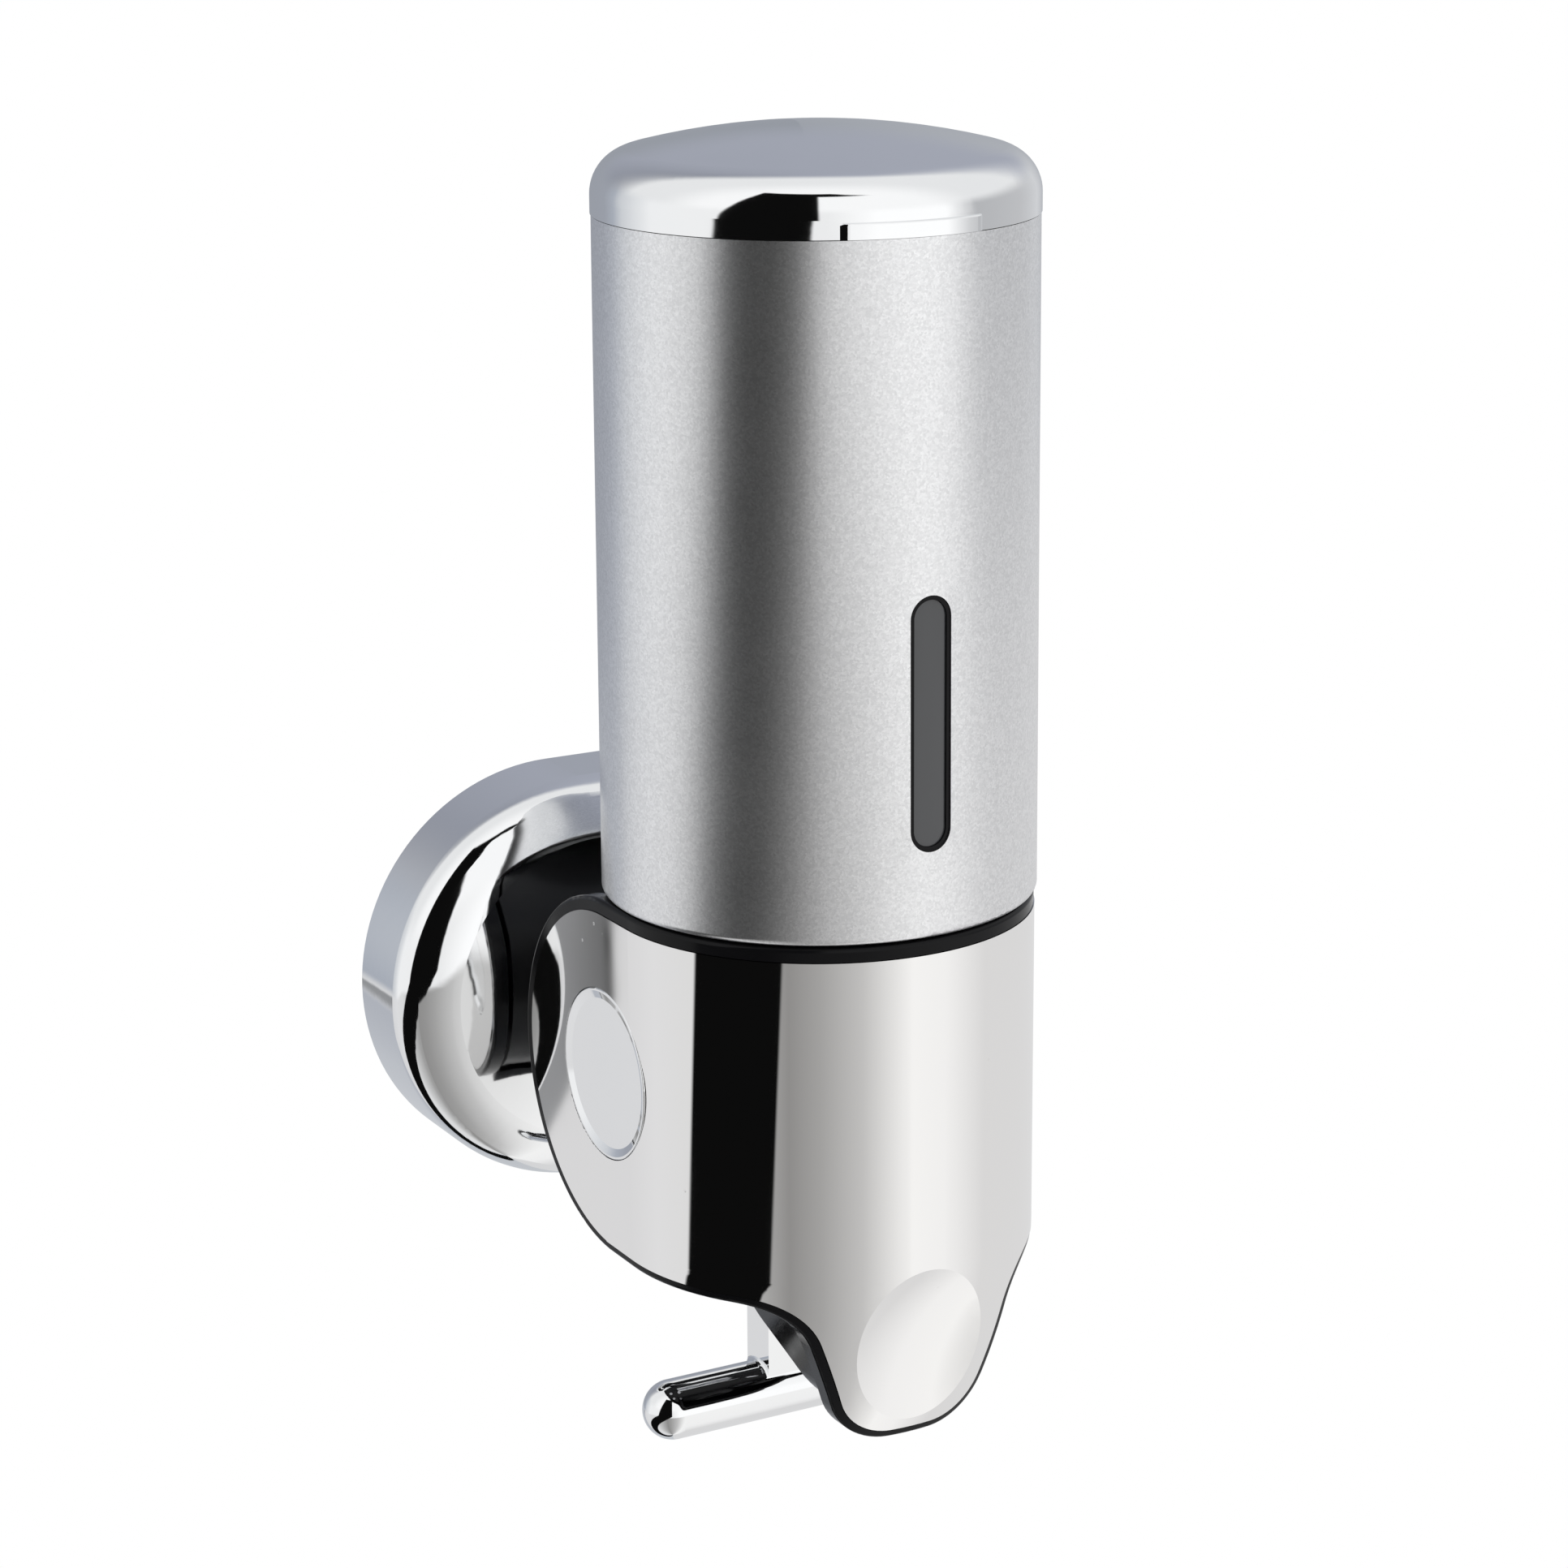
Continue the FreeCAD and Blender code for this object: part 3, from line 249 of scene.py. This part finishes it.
def room_around(t, angle, rise):
    """The room up to eye level and a little over."""
    place = t.math("DIVIDE", t.math("ADD", angle, 180.0), 360.0)
    low, level = (
        t.ramp(place, [((at + 180) / 360, colour) for at, colour in stops])
        for stops in (ROOM_LOW, ROOM_LEVEL)
    )
    lift = t.span(angle, LIFT_FROM, LIFT_TO)
    start = t.line(lift, LOW_LIFT, LOW_ENDS)
    end = t.line(lift, LEVEL_LIFT, LEVEL_BEGINS)
    return t.mix(t.span(rise, start, end), low, level)


def room_above(t, toward, right):
    """What is higher: light above and in front, greyer behind, between two soft edges."""
    backward = t.math("MAXIMUM", t.math("MULTIPLY", toward, -1.0), LEAST_BACKWARD)
    aside = t.math("DIVIDE", right, backward)
    between = t.product(t.span(aside, *BEHIND_LEFT_EDGE), t.fall(aside, *BEHIND_RIGHT_EDGE))
    behind = t.product(between, t.fall(toward, *BEHIND_FRONT_EDGE))
    above = t.mix(t.span(toward, *ABOVE_SHADE), ABOVE, ABOVE_FRONT)
    back = t.mix(t.span(aside, *BEHIND_SHADE), BEHIND_LEFT, BEHIND_RIGHT)
    return t.mix(behind, above, back)


def build_world():
    """A soft white room with a dark gap to the camera's left, greyer behind. The camera sees plain white."""
    world = bpy.data.worlds.new("studio")
    bpy.context.scene.world = world
    world.use_nodes = True
    t = Tree(world.node_tree)
    direction = t.add("ShaderNodeTexCoord").outputs["Generated"]
    toward = t.dot(direction, TO_CAMERA)
    right = t.dot(direction, TO_RIGHT)
    height = t.dot(direction, (0.0, 0.0, 1.0))
    angle = t.math("DEGREES", t.math("ARCTAN2", right, toward))
    rise = t.math("DEGREES", t.math("ARCSINE", height))
    room = panel_left(t, room_around(t, angle, rise), angle, rise)
    room = t.mix(t.span(rise, ABOVE_FROM, ABOVE_TO), room, room_above(t, toward, right))
    room = t.mix(gap_toward_camera(t, angle, rise), room, DARK)
    seen = t.add("ShaderNodeLightPath").outputs["Is Camera Ray"]
    colour = t.mix(seen, room, WHITE)
    background = t.add("ShaderNodeBackground", {"Color": colour, "Strength": 1.0})
    out = t.add("ShaderNodeOutputWorld")
    t.put(out.inputs["Surface"], background.outputs[0])


def build_floor():
    """A plain white floor that lights nothing and shows in no reflection."""
    mesh = bpy.data.meshes.new("floor")
    half = FLOOR_SIZE / 2
    corners = [(x * half, y * half, FLOOR_Z) for x, y in ((-1, -1), (1, -1), (1, 1), (-1, 1))]
    mesh.from_pydata(corners, [], [(0, 1, 2, 3)])
    floor = bpy.data.objects.new("floor", mesh)
    bpy.context.scene.collection.objects.link(floor)
    material = bpy.data.materials.new("floor")
    material.use_nodes = True
    t = Tree(material.node_tree)
    glow = t.add("ShaderNodeEmission", {"Color": WHITE, "Strength": 1.0})
    out = t.add("ShaderNodeOutputMaterial")
    t.put(out.inputs["Surface"], glow.outputs[0])
    mesh.materials.append(material)
    floor.visible_glossy = False
    floor.visible_diffuse = False
    floor.visible_transmission = False


# ---------------------------------------------------------------- materials


class Finish(Tree):
    """One procedural material: a Principled shader, with plain inputs or noise in object space."""

    def __init__(self, name):
        self.material = bpy.data.materials.new(name + "_look")
        self.material.use_nodes = True
        super().__init__(self.material.node_tree)
        self.shader = self.add("ShaderNodeBsdfPrincipled")
        out = self.add("ShaderNodeOutputMaterial")
        self.put(out.inputs["Surface"], self.shader.outputs[0])
        self.place = self.add("ShaderNodeTexCoord").outputs["Object"]

    def set(self, **values):
        for name, value in values.items():
            self.put(self.shader.inputs[name.replace("_", " ")], value)
        return self

    def noise(self, scale, detail=2.0, rough=0.5, squeeze=(1, 1, 1)):
        place = self.place
        if squeeze != (1, 1, 1):
            mapping = self.add("ShaderNodeMapping")
            self.put(mapping.inputs["Vector"], place)
            mapping.inputs["Scale"].default_value = squeeze
            place = mapping.outputs[0]
        values = {"Vector": place, "Scale": scale, "Detail": detail, "Roughness": rough}
        node = self.add("ShaderNodeTexNoise", values)
        return node.outputs["Fac"]

    def cells(self, scale, output="Color"):
        node = self.add("ShaderNodeTexVoronoi", {"Vector": self.place, "Scale": scale})
        return node.outputs[output]

    def bump(self, height, distance, strength=1.0, normal=None):
        node = self.add("ShaderNodeBump", {"Height": height, "Distance": distance, "Strength": strength})
        if normal is not None:
            self.put(node.inputs["Normal"], normal)
        return node.outputs["Normal"]

    def tint(self, factor, dark, light):
        return self.mix(factor, (*dark, 1.0), (*light, 1.0))

    def rough(self, noise, low, high):
        """Roughness from low to high over the middle of the noise's range."""
        self.set(Roughness=self.span(noise, 0.3, 0.7, low, high, smooth=False))
        return self


# Heights of surface detail in metres, and the slope of the pivot discs' faces.
PAINT_WAVE = 0.000004
PEEL = 0.000004
PRESS_RIPPLE = 0.000006
SPECK_HEIGHT = 0.000003
DISC_LEAN = 0.021
PAINT_METALLIC = 0.97


def silver_paint(f):
    """Satin metallic lacquer: fine flakes, some brighter than others, under a smooth clear film."""
    flake = f.math("MULTIPLY", f.cells(2700.0), f.noise(5600.0, 1.0))
    colour = f.tint(f.span(flake, 0.05, 0.55, smooth=False), (0.74, 0.745, 0.755), (0.94, 0.945, 0.955))
    sparkle = f.span(f.cells(1500.0, "Distance"), 0.0, 0.09, 1.0, 0.0)
    colour = f.mix(f.math("MULTIPLY", sparkle, 0.5), colour, (1.0, 1.0, 1.0, 1.0))
    f.set(Base_Color=colour, Metallic=PAINT_METALLIC, Normal=f.bump(f.noise(35.0, 1.0), PAINT_WAVE))
    f.rough(f.noise(60.0), 0.285, 0.30)


def chrome_plate(f):
    """Bright plating on a moulding: nearly a mirror, with a trace of orange peel and handling."""
    smudge = f.noise(60.0, 4.0)
    f.set(Base_Color=f.tint(smudge, (0.86, 0.87, 0.88), (0.90, 0.905, 0.91)), Metallic=1.0,
          Normal=f.bump(f.noise(420.0, 1.0), PEEL))
    f.rough(smudge, 0.035, 0.065)


def pivot_disc(f):
    """The same plating, with the shading of a face that leans very slightly to the front."""
    chrome_plate(f)
    along = f.add("ShaderNodeSeparateXYZ", {"Vector": f.place}).outputs["Y"]
    f.set(Normal=f.bump(f.math("MULTIPLY", along, DISC_LEAN), 1.0))


def mirror_steel(f):
    """Polished pressed steel: a slow ripple from the press, and a few specks."""
    speck = f.span(f.cells(210.0, "Distance"), 0.035, 0.075, 1.0, 0.0)
    some = f.span(f.noise(95.0, 0.0), 0.60, 0.66)
    marks = f.math("MULTIPLY", speck, some)
    colour = f.mix(f.math("MULTIPLY", marks, 0.15), (0.90, 0.895, 0.89, 1.0), (0.70, 0.68, 0.66, 1.0))
    ripple = f.bump(f.noise(38.0, 1.0, squeeze=(1, 1, 0.45)), PRESS_RIPPLE)
    f.set(Base_Color=colour, Metallic=1.0, Normal=f.bump(marks, SPECK_HEIGHT, 1.0, ripple))
    f.rough(f.noise(30.0, 3.0), 0.015, 0.04)


def moulded(dark, light, rough, grain, depth, gloss=0.5):
    """A moulded plastic: slight mottling, a fine grain and its own gloss."""

    def finish(f):
        mottle = f.noise(90.0, 4.0)
        f.set(Base_Color=f.tint(mottle, dark, light), IOR=1.5, Specular_IOR_Level=gloss,
              Normal=f.bump(f.noise(grain, 3.0), depth))
        f.rough(f.noise(140.0, 3.0), *rough)

    return finish


def smoke_lens(f):
    """Smoke tinted clear plastic, so dark that only its gloss and a little depth show."""
    streak = f.noise(120.0, 2.0, squeeze=(1, 1, 0.1))
    colour = f.tint(streak, (0.060, 0.062, 0.066), (0.090, 0.093, 0.099))
    f.set(Base_Color=colour, IOR=1.49, Coat_Weight=0.3, Coat_Roughness=0.03, Normal=f.bump(streak, 0.00002))
    f.rough(f.noise(200.0), 0.10, 0.18)


def clear_tank(f):
    """Natural polypropylene: cloudy and pale."""
    cloud = f.noise(70.0, 4.0)
    colour = f.tint(cloud, (0.70, 0.72, 0.73), (0.82, 0.84, 0.85))
    f.set(Base_Color=colour, IOR=1.49, Transmission_Weight=0.35, Normal=f.bump(f.noise(800.0), 0.00001))
    f.rough(cloud, 0.25, 0.4)


def metal(dark, light, rough, grain, squeeze=(1, 1, 1), depth=0.00001):
    """Bare or plated metal with drawn or ground grain."""

    def finish(f):
        line = f.noise(grain, 3.0, squeeze=squeeze)
        f.set(Base_Color=f.tint(line, dark, light), Metallic=1.0, Normal=f.bump(line, depth))
        f.rough(line, *rough)

    return finish


# A finish for each name of material in the CAD model. The tuples of moulded() and metal() are its darkest
# and lightest colour and its lowest and highest roughness, before the grain's scale and depth.
FINISHES = {
    "pivot_disc": pivot_disc,
    "silver_paint": silver_paint,
    "chrome_plate": chrome_plate,
    "mirror_steel": mirror_steel,
    "black_abs": moulded((0.006, 0.006, 0.007), (0.011, 0.011, 0.012), (0.12, 0.2), 1500.0, 0.000003, 0.12),
    "chassis_abs": moulded((0.010, 0.010, 0.011), (0.018, 0.018, 0.019), (0.3, 0.42), 2600.0, 0.00002, 0.2),
    "smoke_lens": smoke_lens,
    "clear_tank": clear_tank,
    "white_acetal": moulded((0.74, 0.74, 0.72), (0.82, 0.82, 0.80), (0.32, 0.42), 1200.0, 0.00001),
    "black_rubber": moulded((0.012, 0.012, 0.012), (0.024, 0.024, 0.024), (0.55, 0.75), 1800.0, 0.00002),
    "silicone": moulded((0.62, 0.63, 0.62), (0.72, 0.73, 0.72), (0.4, 0.5), 900.0, 0.00001),
    "zinc_steel": metal((0.55, 0.56, 0.58), (0.72, 0.73, 0.76), (0.28, 0.45), 500.0),
    "stainless": metal((0.60, 0.59, 0.58), (0.74, 0.73, 0.72), (0.2, 0.32), 900.0, (1, 1, 0.2)),
    "plate_steel": metal((0.42, 0.43, 0.45), (0.58, 0.59, 0.61), (0.35, 0.55), 600.0, (1, 1, 0.1), 0.00002),
}


def slot_of_nodes():
    """Which finish each CAD node takes: that of the material that it came with, but for the pivot discs."""
    found = {}
    for name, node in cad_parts.items():
        found[name] = node.data.materials[0].name.split(".")[0]
        if name.startswith("pivot_cap"):
            found[name] = "pivot_disc"
    return found


def dress():
    """Give every CAD node its procedural material."""
    slots = slot_of_nodes()
    looks = {}
    for slot in sorted(set(slots.values())):
        finish = Finish(slot)
        FINISHES[slot](finish)
        looks[slot] = finish.material
    for name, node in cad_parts.items():
        for k in range(len(node.data.materials)):
            node.data.materials[k] = looks[slots[name]]


bpy.context.scene.view_settings.view_transform = "Standard"
place_camera()
build_world()
build_floor()
dress()
